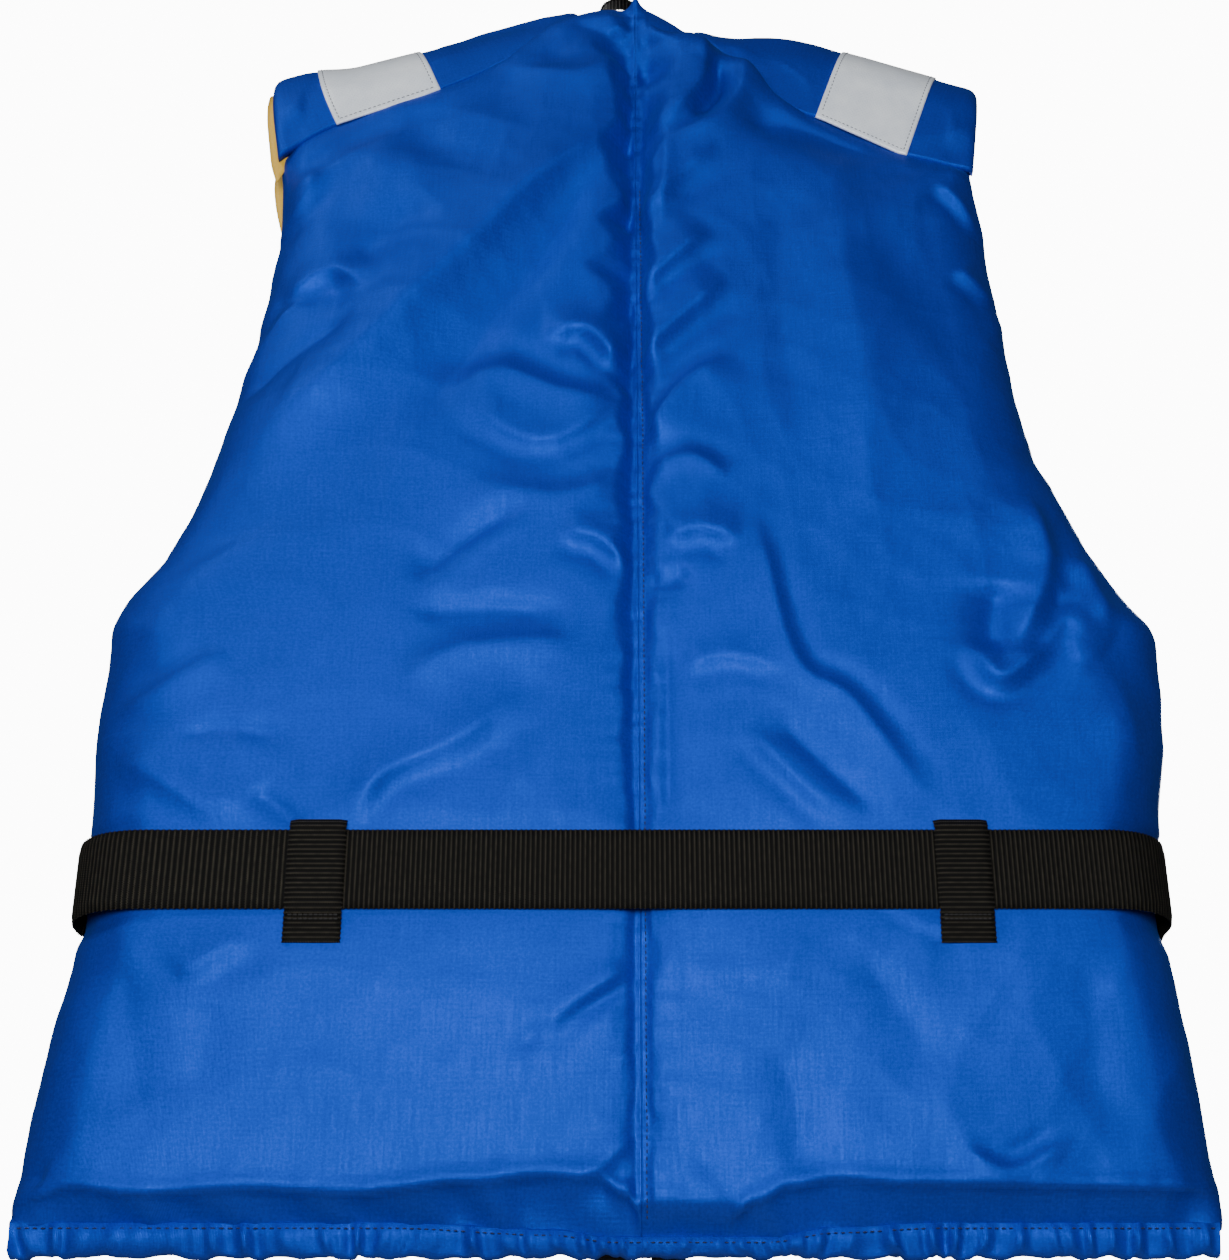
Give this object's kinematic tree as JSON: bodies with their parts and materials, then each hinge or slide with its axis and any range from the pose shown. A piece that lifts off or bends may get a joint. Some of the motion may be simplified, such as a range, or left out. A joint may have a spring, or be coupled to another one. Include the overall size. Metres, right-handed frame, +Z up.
{
  "type": "foam buoyancy vest",
  "caption": "Sleeveless foam buoyancy vest with padded back and fronts, front zip, webbing waist belt with side-release buckle, shoulder reflectors and a hanging loop.",
  "frame": {"origin": "the point of the hanging loop that a hook bears on, at the back of the neck", "axes": "+Z up towards the neck, the wearer's back faces -Y and the fronts face +Y, +X towards the wearer's right as seen from behind"},
  "size_m": [0.524, 0.1265, 0.7096],
  "materials": {
    "cover_nylon": "blue woven nylon with a satin sheen",
    "lining_nylon": "yellow woven nylon",
    "foam": "closed-cell foam, hidden",
    "reflective_tape": "silver reflective tape",
    "elastic": "black woven elastic",
    "webbing": "black ribbed webbing",
    "zip_tape": "black zip tape",
    "moulded_plastic": "black moulded acetal",
    "painted_slider": "black painted zinc"
  },
  "bodies": {
    "back": {"back_cover_left": "cover_nylon", "back_cover_right": "cover_nylon", "back_foam_left": "foam", "back_foam_right": "foam", "back_lining": "lining_nylon", "shoulder_yoke_left": "cover_nylon", "shoulder_yoke_right": "cover_nylon", "yoke_lining_left": "lining_nylon", "yoke_lining_right": "lining_nylon", "reflector_left": "reflective_tape", "reflector_right": "reflective_tape", "side_panel_left": "cover_nylon", "side_panel_right": "cover_nylon", "hem_casing_back": "cover_nylon", "hem_elastic_back": "elastic", "belt_back": "webbing", "belt_loop_back_left": "webbing", "belt_loop_back_right": "webbing", "hang_loop": "webbing"},
    "front_left": {"front_cover_left": "cover_nylon", "front_foam_left": "foam", "front_lining_left": "lining_nylon", "hem_casing_front_left": "cover_nylon", "hem_elastic_front_left": "elastic", "belt_front_left": "webbing", "belt_loop_front_left": "webbing", "zip_tape_left": "zip_tape", "zip_teeth_left": "moulded_plastic", "zip_stop_left": "moulded_plastic", "zip_insert_pin": "moulded_plastic", "buckle_socket": "moulded_plastic"},
    "front_right": {"front_cover_right": "cover_nylon", "front_foam_right": "foam", "front_lining_right": "lining_nylon", "hem_casing_front_right": "cover_nylon", "hem_elastic_front_right": "elastic", "belt_front_right": "webbing", "belt_loop_front_right": "webbing", "zip_tape_right": "zip_tape", "zip_teeth_right": "moulded_plastic", "zip_stop_right": "moulded_plastic", "zip_box": "moulded_plastic"},
    "slider": {"zip_slider": "painted_slider"},
    "pull": {"zip_pull": "painted_slider"},
    "buckle": {"buckle_frame": "moulded_plastic", "belt_tail": "webbing"},
    "prong_upper": {"buckle_prong_upper": "moulded_plastic"},
    "prong_lower": {"buckle_prong_lower": "moulded_plastic"},
    "keeper": {"strap_keeper": "elastic"}
  },
  "joints": [
    {"name": "open_left", "type": "hinge", "parent": "back", "child": "front_left", "pos_m": [-0.2635, 0.027, -0.422], "axis": [0, 0, 1], "range_deg": [0, 30]},
    {"name": "open_right", "type": "hinge", "parent": "back", "child": "front_right", "pos_m": [0.2635, 0.027, -0.422], "axis": [0, 0, -1], "range_deg": [0, 30]},
    {"name": "zip_slide", "type": "slide", "parent": "front_right", "child": "slider", "axis": [0, 0, -1], "range_m": [0, 0.44], "deforming": ["zip_teeth_left", "zip_teeth_right"]},
    {"name": "pull_swing", "type": "hinge", "parent": "slider", "child": "pull", "pos_m": [0, 0.0489, -0.223], "axis": [1, 0, 0], "range_deg": [0, 150]},
    {"name": "buckle_clip", "type": "slide", "parent": "front_right", "child": "buckle", "axis": [-1, 0, 0], "range_m": [0, 0.04], "deforming": ["buckle_prong_upper", "buckle_prong_lower"]},
    {"name": "pinch_upper", "type": "hinge", "parent": "buckle", "child": "prong_upper", "pos_m": [0.0336, 0.0799, -0.5275], "axis": [0, -1, 0], "range_deg": [0, 6], "stiffness_Nm_per_rad": 0.3},
    {"name": "pinch_lower", "type": "hinge", "parent": "buckle", "child": "prong_lower", "pos_m": [0.0336, 0.0799, -0.5555], "axis": [0, 1, 0], "range_deg": [0, 6], "stiffness_Nm_per_rad": 0.3},
    {"name": "keeper_slide", "type": "slide", "parent": "front_right", "child": "keeper", "axis": [-1, 0, 0], "range_m": [0, 0.03]}
  ],
  "couplings": [
    {"joint": "pinch_lower", "follows": "pinch_upper", "ratio": 1}
  ]
}
